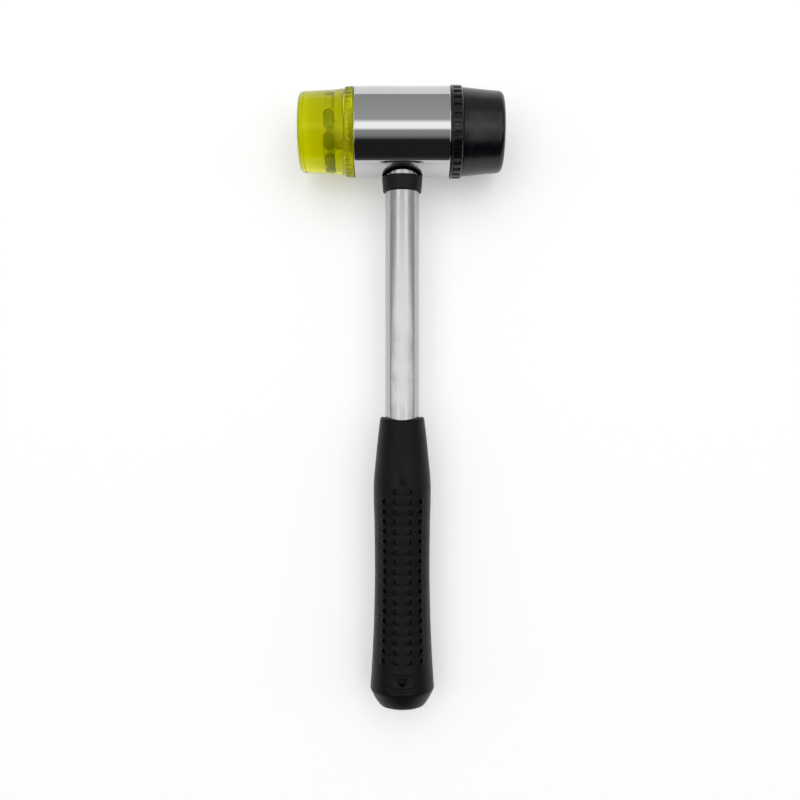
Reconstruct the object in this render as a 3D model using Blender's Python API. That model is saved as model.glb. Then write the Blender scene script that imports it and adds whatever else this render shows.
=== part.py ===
"""Dead blow mallet with two screw-on striking faces, lying on its side on a bench.

Metres, +Z up. The bench is the plane Z = 0 and the origin is the middle of the mallet's footprint.
+X runs along the head, from the hard plastic face to the rubber face.
+Y runs along the handle, towards the head.

Most pieces are designed in the mallet's own axes: the head's centre is the origin, the handle runs down -Y,
and the whole tool is then tipped a little so that the head and the grip both touch the bench.
"""

import math

import bmesh
import bpy
from mathutils import Matrix, Vector

# Driving dimensions, in metres.
FIT_GAP = 0.0003  # space between pieces that touch

BARREL_RADIUS = 0.0200
BARREL_LENGTH = 0.0422
BARREL_BORE_RADIUS = 0.0135
BARREL_EDGE = 0.0004

PLUG_THICKNESS = 0.0095
PLUG_FLOOR = 0.0013

THREAD_PITCH = 0.0025
THREAD_ROOT_RADIUS = 0.0050
THREAD_HEIGHT = 0.0009
THREAD_CLEARANCE = 0.00035
THREAD_RUNOUT = 0.0012
STUD_LENGTH = 0.0066
SAMPLES_PER_PITCH = 5

ANCHOR_NECK_RADIUS = 0.0050
ANCHOR_FLANGE_RADIUS = 0.0095
ANCHOR_FLANGE_THICKNESS = 0.0014
ANCHOR_HUB_RADIUS = 0.0078
LUG_COUNT = 8
LUG_RADIUS = 0.0102
LUG_CENTRE = 0.0112  # from the barrel's end
LUG_WIDTH = 0.0046  # along the head
LUG_END = 0.0011  # how far the slanted ends of a lug reach along the head
LUG_CORNERS = (-18, -6, 6, 18)  # degrees from the middle of a lug
LUG_PHASE = -15  # degrees from the top of the head to the middle of the first lug
HUB_LIP = 0.0005

WASHER_INNER_RADIUS = 0.0064
WASHER_OUTER_RADIUS = 0.0105
WASHER_THICKNESS = 0.0012

HARD_TIP_LENGTH = 0.0247  # from the barrel's end to the striking face
RUBBER_TIP_LENGTH = 0.0238
TIP_CORNER_RADIUS = 0.0024

SHOT_RADIUS = 0.0030
SHOT_LAYERS = 3
SHOT_SPACING = 0.0062  # between layers, along the head
SHOT_OUTER_ROW = {"count": 4, "start": 8, "step": 35}  # degrees round the bore, from its lowest line
SHOT_INNER_ROW = {"count": 2, "start": 28, "step": 102}
SHOT_INNER_ROW_RADIUS = 0.0041

TUBE_RADIUS = 0.00765
TUBE_WALL = 0.0012
SOCKET_RADIUS = 0.0094
SOCKET_TOP = 0.0020  # the cup's closed end, below the head's centre
SOCKET_CAP = 0.0014
PIN_RADIUS = 0.0018
PIN_DEPTH = 0.0068

COLLAR_TOP = 0.0204
COLLAR_BOTTOM = 0.0272
COLLAR_TOP_RADIUS = 0.00915
COLLAR_BOTTOM_RADIUS = 0.00865
COLLAR_EDGE = 0.0008

GRIP_MOUTH = 0.1270
GRIP_MOUTH_DIP = 0.0024
GRIP_DIP_END = 0.1385
GRIP_END = 0.2570
GRIP_END_WALL = 0.0075
GRIP_OUTLINE = (  # distance from the head's centre, radius
    (0.1270, 0.0093),
    (0.1276, 0.0099),
    (0.1315, 0.0103),
    (0.1385, 0.0111),
    (0.1546, 0.0126),
    (0.1600, 0.01285),
    (0.1680, 0.01275),
    (0.1870, 0.0124),
    (0.1980, 0.0123),
    (0.2086, 0.01245),
    (0.2194, 0.0127),
    (0.2302, 0.01315),
    (0.2410, 0.01375),
    (0.2486, 0.01425),
    (0.2499, 0.01405),
    (0.2535, 0.01225),
    (0.2562, 0.0104),
    (0.2570, 0.0096),
)

TURNED_SEGMENTS = 36
SMALL_SEGMENTS = 24
PIN_SEGMENTS = 12


def corner_arc(length, radius, steps=3):
    """A tip's rounded corner, from its side, at this radius, to its striking face."""
    reach = TIP_CORNER_RADIUS
    turns = [math.pi / 2 * i / steps for i in range(steps + 1)]
    return [(length - reach + reach * math.sin(t), radius - reach + reach * math.cos(t)) for t in turns]


# The outer outline of each tip, as (distance from the barrel's end, radius).
HARD_TIP_OUTLINE = (
    (0.0003, 0.0196),
    (0.0006, 0.0198),
    (0.0038, 0.0196),
    (0.0042, 0.01895),
    (0.0090, 0.01845),
    (0.0150, 0.0181),
    *corner_arc(HARD_TIP_LENGTH, 0.01775),
)
RUBBER_TIP_OUTLINE = (
    (0.0003, 0.0201),
    (0.0005, 0.0205),
    (0.0009, 0.0205),
    (0.0011, 0.0203),
    (0.0047, 0.0203),
    (0.0054, 0.0196),
    (0.0057, 0.0193),
    (0.0120, 0.0188),
    *corner_arc(RUBBER_TIP_LENGTH, 0.0179),
)
HARD_NOTCHES = {"count": 40, "start": 0.0010, "end": 0.0034, "width": 0.0012, "floor": 0.0191}
RUBBER_NOTCHES = {"count": 30, "start": 0.0013, "end": 0.0047, "width": 0.0021, "floor": 0.0195}

NOTCH_CUTTER_HEIGHT = 0.003

HEAD_HEIGHT = max(radius for _, radius in RUBBER_TIP_OUTLINE)


def tilt_that_touches(distance, radius):
    """The tilt at which this station of the grip meets the bench."""
    return math.asin(HEAD_HEIGHT / math.hypot(distance, radius)) - math.atan2(radius, distance)


REST_TILT = min(tilt_that_touches(*station) for station in GRIP_OUTLINE)
GRIP_REACH = max(d * math.cos(REST_TILT) + r * math.sin(REST_TILT) for d, r in GRIP_OUTLINE)
HEAD_X = (HARD_TIP_LENGTH - RUBBER_TIP_LENGTH) / 2
HEAD_Y = (GRIP_REACH - HEAD_HEIGHT) / 2


# Materials and objects.
def make_material(name, colour, roughness, metallic=0.0, transmission=0.0):
    material = bpy.data.materials.new(name)
    material.use_nodes = True
    shader = material.node_tree.nodes["Principled BSDF"]
    shader.inputs["Base Color"].default_value = (*colour, 1.0)
    shader.inputs["Roughness"].default_value = roughness
    shader.inputs["Metallic"].default_value = metallic
    shader.inputs["Transmission Weight"].default_value = transmission
    material.diffuse_color = (*colour, 1.0)
    return material


def add_object(name, bm, parent, material):
    """Turns a bmesh into a named object with its faces pointing out and its round sides smooth."""
    bmesh.ops.recalc_face_normals(bm, faces=bm.faces)
    mesh = bpy.data.meshes.new(name)
    bm.to_mesh(mesh)
    bm.free()
    mesh.shade_smooth()
    mesh.set_sharp_from_angle(angle=math.radians(35))
    obj = bpy.data.objects.new(name, mesh)
    bpy.context.scene.collection.objects.link(obj)
    obj.parent = parent
    if material:
        mesh.materials.append(material)
    return obj


def add_empty(name, parent=None, location=(0, 0, 0), rotation=(0, 0, 0)):
    empty = bpy.data.objects.new(name, None)
    bpy.context.scene.collection.objects.link(empty)
    empty.parent = parent
    empty.location = location
    empty.rotation_euler = rotation
    empty.empty_display_size = 0.01
    return empty


def boolean(obj, cutter, operation="DIFFERENCE"):
    """Cuts obj by cutter, or keeps what they share, and hides the cutter."""
    cutter.hide_render = True
    cutter.display_type = "WIRE"
    modifier = obj.modifiers.new(operation.title(), "BOOLEAN")
    modifier.operation = operation
    modifier.solver = "EXACT"
    modifier.object = cutter


# Turned shapes. Each is built about the local X axis.
def even_angles(segments):
    return [math.tau * i / segments for i in range(segments)]


def lug_angles():
    """Angles with a vertex at each corner of each lug, so that every lug is the same."""
    spacing = 360 / LUG_COUNT
    corners = [LUG_PHASE + spacing * i + corner for i in range(LUG_COUNT) for corner in LUG_CORNERS]
    return [math.radians(corner) for corner in corners]


def close_rings(bm, loops, hollow):
    """Faces between neighbouring rings. A hollow solid's last ring joins its first, and others have flat ends."""
    pairs = list(zip(loops, loops[1:]))
    if hollow:
        pairs.append((loops[-1], loops[0]))
    else:
        bm.faces.new(loops[0])
        bm.faces.new(loops[-1])
    for first, second in pairs:
        for i in range(len(first)):
            j = (i + 1) % len(first)
            bm.faces.new((first[i], first[j], second[j], second[i]))


def lathe(rings, angles, hollow=False):
    """A closed turned solid. Each ring is (x, radius), where radius may be a function of the angle."""
    bm = bmesh.new()
    loops = []
    for x, radius in rings:
        radii = [radius(a) if callable(radius) else radius for a in angles]
        loops.append([bm.verts.new((x, -r * math.sin(a), r * math.cos(a))) for a, r in zip(angles, radii)])
    close_rings(bm, loops, hollow)
    return bm


def along_handle(bm):
    """Turns a solid built about +X so that it runs down the handle, along -Y."""
    bm.transform(Matrix.Rotation(-math.pi / 2, 4, "Z"))
    return bm


def along_pin(bm):
    """Turns a solid built about +X so that it runs along Z."""
    bm.transform(Matrix.Rotation(-math.pi / 2, 4, "Y"))
    return bm


def steps_between(start, end, longest):
    """Evenly spaced values from start to end, no further apart than longest."""
    count = max(1, math.ceil(abs(end - start) / longest - 1e-6))
    return [start + (end - start) * i / count for i in range(count + 1)]


# The thread and the anchor, as radii that depend on the angle.
def thread_radius(x, extra=0.0, strength=1.0):
    """A right-hand rounded thread about +X."""

    def radius(angle):
        turn = x / THREAD_PITCH - angle / math.tau
        return THREAD_ROOT_RADIUS + extra + strength * THREAD_HEIGHT * (0.5 + 0.5 * math.cos(math.tau * turn))

    return radius


def stud_strength(x):
    """The stud's thread fades out at both of its ends."""
    room = min(x + STUD_LENGTH, -FIT_GAP - x)
    return min(1.0, max(0.0, room / THREAD_RUNOUT))


def lug_radius(widest_corner):
    """The hub's radius, raised to the lugs' at their corners up to this many degrees from their middle."""
    spacing = 360 / LUG_COUNT

    def radius(angle):
        corner = (math.degrees(angle) - LUG_PHASE + spacing / 2) % spacing - spacing / 2
        return LUG_RADIUS if abs(corner) < widest_corner + 1 else ANCHOR_HUB_RADIUS

    return radius


FLANGE_START = WASHER_THICKNESS + 3 * FIT_GAP
FLANGE_END = FLANGE_START + ANCHOR_FLANGE_THICKNESS
HUB_START = LUG_CENTRE - LUG_WIDTH / 2 - HUB_LIP
HUB_END = LUG_CENTRE + LUG_WIDTH / 2 + HUB_LIP


def anchor_rings():
    """The buried part of the insert, from its flange outwards."""
    low, high = HUB_START + HUB_LIP, HUB_END - HUB_LIP
    return [
        (FLANGE_START, ANCHOR_FLANGE_RADIUS),
        (FLANGE_END, ANCHOR_FLANGE_RADIUS),
        (FLANGE_END, ANCHOR_NECK_RADIUS),
        (HUB_START, ANCHOR_NECK_RADIUS),
        (HUB_START, ANCHOR_HUB_RADIUS),
        (low, lug_radius(LUG_CORNERS[2])),
        (low + LUG_END, lug_radius(LUG_CORNERS[3])),
        (high - LUG_END, lug_radius(LUG_CORNERS[3])),
        (high, lug_radius(LUG_CORNERS[2])),
        (HUB_END, ANCHOR_HUB_RADIUS),
    ]


def anchor_room():
    """The hollow in a tip that the insert's buried part sits in."""
    return [
        (FLANGE_END + FIT_GAP, ANCHOR_FLANGE_RADIUS + FIT_GAP),
        (FLANGE_END + FIT_GAP, ANCHOR_NECK_RADIUS + FIT_GAP),
        (HUB_START - FIT_GAP, ANCHOR_NECK_RADIUS + FIT_GAP),
        (HUB_START - FIT_GAP, LUG_RADIUS + FIT_GAP),
        (HUB_END + FIT_GAP, LUG_RADIUS + FIT_GAP),
    ]


# The head.
def add_barrel(parent, material):
    half = BARREL_LENGTH / 2
    rings = [
        (-half, BARREL_BORE_RADIUS),
        (-half, BARREL_RADIUS - BARREL_EDGE),
        (-half + BARREL_EDGE, BARREL_RADIUS),
        (half - BARREL_EDGE, BARREL_RADIUS),
        (half, BARREL_RADIUS - BARREL_EDGE),
        (half, BARREL_BORE_RADIUS),
    ]
    around = even_angles(TURNED_SEGMENTS)
    barrel = add_object("head_barrel", lathe(rings, around, hollow=True), parent, material)
    hole_radius = TUBE_RADIUS + FIT_GAP
    hole = [(BARREL_BORE_RADIUS / 2, hole_radius), (BARREL_RADIUS * 1.25, hole_radius)]
    cutter = add_object("handle_hole_cutter", along_handle(lathe(hole, around)), parent, None)
    boolean(barrel, cutter)


def add_end_plug(name, side, material):
    """A threaded plug pressed into the barrel's end. x = 0 is the barrel's end and +x is outwards."""
    mouth = -FIT_GAP
    floor = mouth - PLUG_THICKNESS + PLUG_FLOOR
    radius = BARREL_BORE_RADIUS - FIT_GAP
    rings = [(mouth - PLUG_THICKNESS, radius), (mouth, radius)]
    for x in steps_between(mouth, floor, THREAD_PITCH / SAMPLES_PER_PITCH):
        rings.append((x, thread_radius(x, THREAD_CLEARANCE)))
    add_object(name, lathe(rings, even_angles(SMALL_SEGMENTS)), side, material)


def add_insert(name, side, material):
    """A steel stud that screws into the plug, with an anchor that the tip is moulded round."""
    rings = []
    for x in steps_between(-STUD_LENGTH, -FIT_GAP, THREAD_PITCH / SAMPLES_PER_PITCH):
        rings.append((x, thread_radius(x, strength=stud_strength(x))))
    rings.append((FLANGE_START, THREAD_ROOT_RADIUS))
    add_object(name, lathe(rings + anchor_rings(), lug_angles()), side, material)


def add_washer(name, side, material):
    rings = [
        (FIT_GAP, WASHER_INNER_RADIUS),
        (FIT_GAP, WASHER_OUTER_RADIUS),
        (FIT_GAP + WASHER_THICKNESS, WASHER_OUTER_RADIUS),
        (FIT_GAP + WASHER_THICKNESS, WASHER_INNER_RADIUS),
    ]
    add_object(name, lathe(rings, even_angles(SMALL_SEGMENTS), hollow=True), side, material)


def add_notch_cutter(name, side, notches):
    """Short bars round the flange, each with a pointed outer end, that cut its finger notches."""
    bm = bmesh.new()
    half = notches["width"] / 2
    outwards = Vector((0, 0, NOTCH_CUTTER_HEIGHT))
    outline = [
        (notches["start"], -half),
        (notches["end"] - half, -half),
        (notches["end"], 0.0),
        (notches["end"] - half, half),
        (notches["start"], half),
    ]
    for i in range(notches["count"]):
        turn = Matrix.Rotation(math.tau * i / notches["count"], 4, "X")
        points = [turn @ Vector((x, y, notches["floor"])) for x, y in outline]
        base = bm.faces.new([bm.verts.new(point) for point in points])
        extruded = bmesh.ops.extrude_face_region(bm, geom=[base], use_keep_orig=True)["geom"]
        moved = [item for item in extruded if isinstance(item, bmesh.types.BMVert)]
        bmesh.ops.translate(bm, verts=moved, vec=turn @ outwards)
    return add_object(name, bm, side, None)


def add_tip(name, side, outline, notches, material):
    """The striking face: a moulded body with a flange, a recess for the washer and room for the insert."""
    recess = WASHER_THICKNESS + 2 * FIT_GAP
    recess_radius = WASHER_OUTER_RADIUS + FIT_GAP
    rings = [(x, r) for x, r in reversed(outline)]
    rings += [(outline[0][0], recess_radius), (recess, recess_radius)]
    rings += [(recess, ANCHOR_FLANGE_RADIUS + FIT_GAP)]
    rings += anchor_room()
    tip = add_object(name, lathe(rings, even_angles(TURNED_SEGMENTS)), side, material)
    boolean(tip, add_notch_cutter(name + "_notch_cutter", side, notches))


def row_places(row, radius):
    """Where one row of balls crosses the chamber, as (y, z)."""
    turns = [math.radians(row["start"] + row["step"] * i) for i in range(row["count"])]
    return [(radius * math.sin(t), -radius * math.cos(t)) for t in turns]


def add_shot(parent, material):
    """Steel balls in a few like layers, heaped in the chamber above the handle's cup."""
    places = row_places(SHOT_OUTER_ROW, BARREL_BORE_RADIUS - SHOT_RADIUS - FIT_GAP)
    places += row_places(SHOT_INNER_ROW, SHOT_INNER_ROW_RADIUS)
    number = 0
    for layer in range(SHOT_LAYERS):
        x = (layer - (SHOT_LAYERS - 1) / 2) * SHOT_SPACING
        for y, z in places:
            number += 1
            bm = bmesh.new()
            bmesh.ops.create_icosphere(bm, subdivisions=2, radius=SHOT_RADIUS)
            ball = add_object(f"shot_ball_{number:02d}", bm, parent, material)
            ball.location = (x, y, z)


# The handle. x is the distance from the head's centre until along_handle turns it down -Y.
def add_socket_and_tube(parent, socket_material, tube_material, pin_material):
    around = even_angles(TURNED_SEGMENTS)
    bottom = BARREL_RADIUS
    bore_top = SOCKET_TOP + SOCKET_CAP
    rings = [
        (SOCKET_TOP, SOCKET_RADIUS),
        (bottom, SOCKET_RADIUS),
        (bottom, TUBE_RADIUS + FIT_GAP),
        (bore_top, TUBE_RADIUS + FIT_GAP),
    ]
    socket = add_object("handle_socket", along_handle(lathe(rings, around)), parent, socket_material)
    limit = BARREL_BORE_RADIUS - FIT_GAP
    bore_rings = [(-BARREL_RADIUS, limit), (BARREL_RADIUS, limit)]
    bore = add_object("bore_limit_cutter", lathe(bore_rings, around), parent, None)
    boolean(socket, bore, "INTERSECT")

    tube_start = bore_top + FIT_GAP
    tube_end = GRIP_END - GRIP_END_WALL - FIT_GAP
    rings = [
        (tube_start, TUBE_RADIUS - TUBE_WALL),
        (tube_start, TUBE_RADIUS),
        (tube_end, TUBE_RADIUS),
        (tube_end, TUBE_RADIUS - TUBE_WALL),
    ]
    tube = add_object("handle_tube", along_handle(lathe(rings, around, hollow=True)), parent, tube_material)

    pin_angles = even_angles(PIN_SEGMENTS)
    reach = SOCKET_RADIUS + 0.003
    hole = [(-reach, PIN_RADIUS + FIT_GAP), (reach, PIN_RADIUS + FIT_GAP)]
    hole_cutter = add_object("pin_hole_cutter", along_pin(lathe(hole, pin_angles)), parent, None)
    hole_cutter.location = (0, -PIN_DEPTH, 0)
    boolean(socket, hole_cutter)
    boolean(tube, hole_cutter)
    half = SOCKET_RADIUS - FIT_GAP
    pin_rings = [
        (-half, PIN_RADIUS - FIT_GAP),
        (-half + FIT_GAP, PIN_RADIUS),
        (half - FIT_GAP, PIN_RADIUS),
        (half, PIN_RADIUS - FIT_GAP),
    ]
    pin = add_object("handle_cross_pin", along_pin(lathe(pin_rings, pin_angles)), parent, pin_material)
    pin.location = (0, -PIN_DEPTH, 0)


def add_collar(parent, material):
    """A rubber ring whose top end is cut to the barrel's curve."""
    inner = TUBE_RADIUS + FIT_GAP
    around = even_angles(TURNED_SEGMENTS)
    top = BARREL_RADIUS * 0.85
    rings = [
        (top, inner),
        (top, COLLAR_TOP_RADIUS),
        (COLLAR_TOP, COLLAR_TOP_RADIUS),
        (COLLAR_BOTTOM - COLLAR_EDGE, COLLAR_BOTTOM_RADIUS),
        (COLLAR_BOTTOM, COLLAR_BOTTOM_RADIUS - COLLAR_EDGE / 2),
        (COLLAR_BOTTOM, inner),
    ]
    collar = add_object("handle_collar", along_handle(lathe(rings, around, hollow=True)), parent, material)
    clear = BARREL_RADIUS + FIT_GAP
    barrel_rings = [(-BARREL_RADIUS, clear), (BARREL_RADIUS, clear)]
    boolean(collar, add_object("collar_saddle_cutter", lathe(barrel_rings, around), parent, None))


def add_grip(parent, material):
    """A moulded sleeve whose mouth dips on the front and the back."""
    bm = bmesh.new()
    angles = even_angles(TURNED_SEGMENTS)
    loops = []

    def add_loop(distance, radius):
        fade = min(1.0, max(0.0, (GRIP_DIP_END - distance) / (GRIP_DIP_END - GRIP_MOUTH)))
        loop = []
        for angle in angles:
            drop = GRIP_MOUTH_DIP * fade * math.cos(angle) ** 2
            loop.append(bm.verts.new((radius * math.sin(angle), -distance - drop, radius * math.cos(angle))))
        loops.append(loop)

    for distance, radius in reversed(GRIP_OUTLINE):
        add_loop(distance, radius)
    inner = TUBE_RADIUS + FIT_GAP
    add_loop(GRIP_MOUTH, inner)
    add_loop(GRIP_END - GRIP_END_WALL, inner)
    close_rings(bm, loops, hollow=False)
    add_object("grip", bm, parent, material)


def main():
    for obj in list(bpy.data.objects):
        bpy.data.objects.remove(obj)

    chrome = make_material("chrome_plate", (0.80, 0.80, 0.80), 0.08, metallic=1.0)
    tube_chrome = make_material("tube_chrome", (0.72, 0.72, 0.72), 0.15, metallic=1.0)
    steel = make_material("plain_steel", (0.45, 0.45, 0.46), 0.40, metallic=1.0)
    zinc = make_material("zinc_insert", (0.55, 0.55, 0.53), 0.45, metallic=1.0)
    shot_steel = make_material("shot_steel", (0.50, 0.50, 0.50), 0.30, metallic=1.0)
    yellow = make_material("yellow_plastic", (0.80, 0.82, 0.02), 0.12, transmission=0.6)
    rubber = make_material("black_rubber", (0.020, 0.021, 0.024), 0.55)
    collar_rubber = make_material("collar_rubber", (0.018, 0.019, 0.021), 0.50)
    grip_rubber = make_material("grip_rubber", (0.018, 0.019, 0.022), 0.60)
    fibre = make_material("washer_fibre", (0.30, 0.10, 0.06), 0.80)

    mallet = add_empty("mallet", location=(HEAD_X, HEAD_Y, HEAD_HEIGHT), rotation=(REST_TILT, 0, 0))
    half = BARREL_LENGTH / 2
    hard_side = add_empty("hard_tip_axis", mallet, (-half, 0, 0), (0, 0, math.pi))
    rubber_side = add_empty("rubber_tip_axis", mallet, (half, 0, 0))
    shot = add_empty("shot_axis", mallet)

    add_barrel(mallet, chrome)
    add_end_plug("hard_side_end_plug", hard_side, steel)
    add_end_plug("rubber_side_end_plug", rubber_side, steel)
    add_shot(shot, shot_steel)

    add_washer("hard_tip_washer", hard_side, fibre)
    add_insert("hard_tip_insert", hard_side, zinc)
    add_tip("hard_tip", hard_side, HARD_TIP_OUTLINE, HARD_NOTCHES, yellow)
    add_washer("rubber_tip_washer", rubber_side, fibre)
    add_insert("rubber_tip_insert", rubber_side, zinc)
    add_tip("rubber_tip", rubber_side, RUBBER_TIP_OUTLINE, RUBBER_NOTCHES, rubber)

    add_socket_and_tube(mallet, steel, tube_chrome, steel)
    add_collar(mallet, collar_rubber)
    add_grip(mallet, grip_rubber)


main()
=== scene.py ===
"""Looks of the dead blow mallet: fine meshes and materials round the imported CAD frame.

Each piece is built in its own axes, in metres, with local +X along its axis of turning.
It is then placed by the frame.
"""

import math

import bmesh
import bpy
from mathutils import Matrix, Vector


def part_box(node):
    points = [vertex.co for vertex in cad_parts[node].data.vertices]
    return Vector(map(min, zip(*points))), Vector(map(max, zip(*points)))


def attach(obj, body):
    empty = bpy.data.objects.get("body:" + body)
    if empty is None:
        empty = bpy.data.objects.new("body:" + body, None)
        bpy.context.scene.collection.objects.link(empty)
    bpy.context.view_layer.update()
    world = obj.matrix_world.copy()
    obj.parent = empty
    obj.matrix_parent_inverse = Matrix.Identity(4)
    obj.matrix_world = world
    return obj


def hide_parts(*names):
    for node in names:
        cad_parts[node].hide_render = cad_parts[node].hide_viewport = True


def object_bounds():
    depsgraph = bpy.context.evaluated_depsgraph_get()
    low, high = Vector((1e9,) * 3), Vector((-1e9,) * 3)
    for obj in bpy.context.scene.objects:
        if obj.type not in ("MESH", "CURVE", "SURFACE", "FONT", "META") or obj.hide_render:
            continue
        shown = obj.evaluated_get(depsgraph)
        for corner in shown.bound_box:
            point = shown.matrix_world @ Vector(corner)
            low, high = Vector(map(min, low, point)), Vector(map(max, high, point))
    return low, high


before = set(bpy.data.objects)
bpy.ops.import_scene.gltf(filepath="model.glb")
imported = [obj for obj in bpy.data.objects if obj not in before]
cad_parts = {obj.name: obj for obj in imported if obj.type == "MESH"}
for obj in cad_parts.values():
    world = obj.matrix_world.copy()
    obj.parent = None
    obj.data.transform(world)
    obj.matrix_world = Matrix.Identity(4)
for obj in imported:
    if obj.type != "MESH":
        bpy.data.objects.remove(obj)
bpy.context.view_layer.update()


# ---------------------------------------------------------------- axes, read from the frame
def middle(node):
    low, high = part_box(node)
    return (low + high) / 2


HEAD = middle("head_barrel")
HANDLE_DIRECTION = (middle("handle_tube") - HEAD).normalized()
TILT = math.asin(-HANDLE_DIRECTION.z)
barrel_low, barrel_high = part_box("head_barrel")
BARREL_HALF = (barrel_high.x - barrel_low.x) / 2
BARREL_RADIUS = (barrel_high.z - barrel_low.z) / 2

TOOL = Matrix.Translation(HEAD) @ Matrix.Rotation(TILT, 4, "X")
HARD_SIDE = TOOL @ Matrix.Translation((-BARREL_HALF, 0, 0)) @ Matrix.Rotation(math.pi, 4, "Z")
RUBBER_SIDE = TOOL @ Matrix.Translation((BARREL_HALF, 0, 0))
HANDLE = TOOL @ Matrix.Rotation(-math.pi / 2, 4, "Z")

FIXED_BODY = "head_and_handle"

# ---------------------------------------------------------------- sizes, in metres
GAP = 0.0003
THREAD_PITCH = 0.0025
THREAD_ROOT = 0.0050
THREAD_HEIGHT = 0.0009
THREAD_CLEARANCE = 0.00035
STUD_LENGTH = 0.0066
STUD_RUNOUT = 0.0012
PLUG_THICKNESS = 0.0095
PLUG_FLOOR = 0.0013
BORE_RADIUS = 0.0135
TUBE_RADIUS = 0.00765
TUBE_WALL = 0.0012
COLLAR_BOTTOM = 0.0272
GRIP_MOUTH = 0.1270
SLEEVE_START = 0.1272
BUTT_START = 0.2486
GRIP_END = 0.2570
HUB_RADIUS = 0.0070
LUG_RADIUS = 0.0118


# ---------------------------------------------------------------- meshes
def link(name, mesh, place, material, body, slot, *replaced):
    """Makes the mesh a piece of the object: placed, smooth, finished and riding on its body."""
    obj = bpy.data.objects.new(name, mesh)
    bpy.context.scene.collection.objects.link(obj)
    obj.matrix_world = place
    mesh.shade_smooth()
    mesh.set_sharp_from_angle(angle=math.radians(38))
    mesh.materials.append(material)
    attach(obj, body)
    if replaced:
        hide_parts(*replaced)
    return obj


class Shell:
    """A surface whose patches share the vertices along their common edges."""

    def __init__(self, place):
        self.place = place
        self.points = []
        self.index = {}
        self.faces = []

    def vertex(self, u, v, lift=0.0):
        key = (round(u, 7), round(v, 7), round(lift, 7))
        if key not in self.index:
            self.index[key] = len(self.points)
            self.points.append(self.place(u, v, lift))
        return self.index[key]

    def face(self, *corners):
        face = [self.vertex(*corner) for corner in corners]
        if len(set(face)) == len(face):
            self.faces.append(face)

    def grid(self, us, vs):
        for u0, u1 in zip(us, us[1:]):
            for v0, v1 in zip(vs, vs[1:]):
                self.face((u0, v0), (u1, v0), (u1, v1), (u0, v1))

    def bands(self, loops):
        """Quads between successive loops of (u, v, lift), and a cap on the last."""
        for first, second in zip(loops, loops[1:]):
            for i in range(len(first)):
                j = (i + 1) % len(first)
                self.face(first[i], first[j], second[j], second[i])
        self.faces.append([self.vertex(*corner) for corner in loops[-1]])

    def mesh(self, name):
        mesh = bpy.data.meshes.new(name)
        mesh.from_pydata(self.points, [], self.faces)
        mesh.validate()
        mesh.update()
        return mesh


def spread(low, high, count):
    return [low + (high - low) * i / count for i in range(count + 1)]


def lathe(name, outline, segments, hollow=False):
    """A turned mesh. outline is (x, radius) or (x, function of the angle), in order along its section."""
    points = []
    faces = []
    angles = [math.tau * i / segments for i in range(segments)]
    for x, radius in outline:
        for angle in angles:
            r = radius(angle) if callable(radius) else radius
            points.append((x, -r * math.sin(angle), r * math.cos(angle)))
    count = len(outline)
    for k in range(count if hollow else count - 1):
        first, second = k * segments, ((k + 1) % count) * segments
        for i in range(segments):
            j = (i + 1) % segments
            faces.append((first + i, first + j, second + j, second + i))
    if not hollow:
        faces.append(tuple(reversed(range(segments))))
        faces.append(tuple(range((count - 1) * segments, count * segments)))
    mesh = bpy.data.meshes.new(name)
    mesh.from_pydata(points, [], faces)
    mesh.validate()
    face_out(mesh)
    return mesh


def face_out(mesh):
    """Turns the faces outwards if the mesh's volume comes out negative."""
    volume = 0.0
    points = [v.co for v in mesh.vertices]
    for face in mesh.polygons:
        corners = [points[i] for i in face.vertices]
        for b, c in zip(corners[1:], corners[2:]):
            volume += corners[0].dot(b.cross(c))
    if volume < 0:
        mesh.flip_normals()
    mesh.update()


def rounded(outline, edge=0.00025, steps=3, support=0.00025):
    """Rounds the corners of a section and puts a point just past each rounding, so that flats stay flat."""
    result = []
    count = len(outline)
    for i, (x, r) in enumerate(outline):
        here = Vector((x, r))
        before = Vector(outline[i - 1]) - here
        after = Vector(outline[(i + 1) % count]) - here
        reach = min(edge, before.length * 0.35, after.length * 0.35)
        turn = before.normalized().dot(after.normalized())
        if turn < -0.985:
            result.append((x, r))
            continue
        start, end = here + before.normalized() * reach, here + after.normalized() * reach
        far_start = here + before.normalized() * min(reach + support, before.length * 0.45)
        far_end = here + after.normalized() * min(reach + support, after.length * 0.45)
        result.append(tuple(far_start))
        for t in spread(0, 1, steps):
            bend = start * (1 - t) ** 2 + here * 2 * t * (1 - t) + end * t * t
            result.append(tuple(bend))
        result.append(tuple(far_end))
    return result


def smooth_radius(stations):
    """A smooth curve through (distance, radius) stations, with no overshoot."""
    xs = [s for s, _ in stations]
    rs = [r for _, r in stations]
    slopes = [(rs[i + 1] - rs[i]) / (xs[i + 1] - xs[i]) for i in range(len(xs) - 1)]
    tangents = [slopes[0]]
    for before, after in zip(slopes, slopes[1:]):
        tangents.append(0.0 if before * after <= 0 else 2 * before * after / (before + after))
    tangents.append(slopes[-1])

    def radius_at(x):
        k = 0
        while k < len(xs) - 2 and x > xs[k + 1]:
            k += 1
        h = xs[k + 1] - xs[k]
        t = min(1.0, max(0.0, (x - xs[k]) / h))
        a, b = 2 * t**3 - 3 * t**2 + 1, t**3 - 2 * t**2 + t
        c, d = -2 * t**3 + 3 * t**2, t**3 - t**2
        return a * rs[k] + b * h * tangents[k] + c * rs[k + 1] + d * h * tangents[k + 1]

    return radius_at


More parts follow.
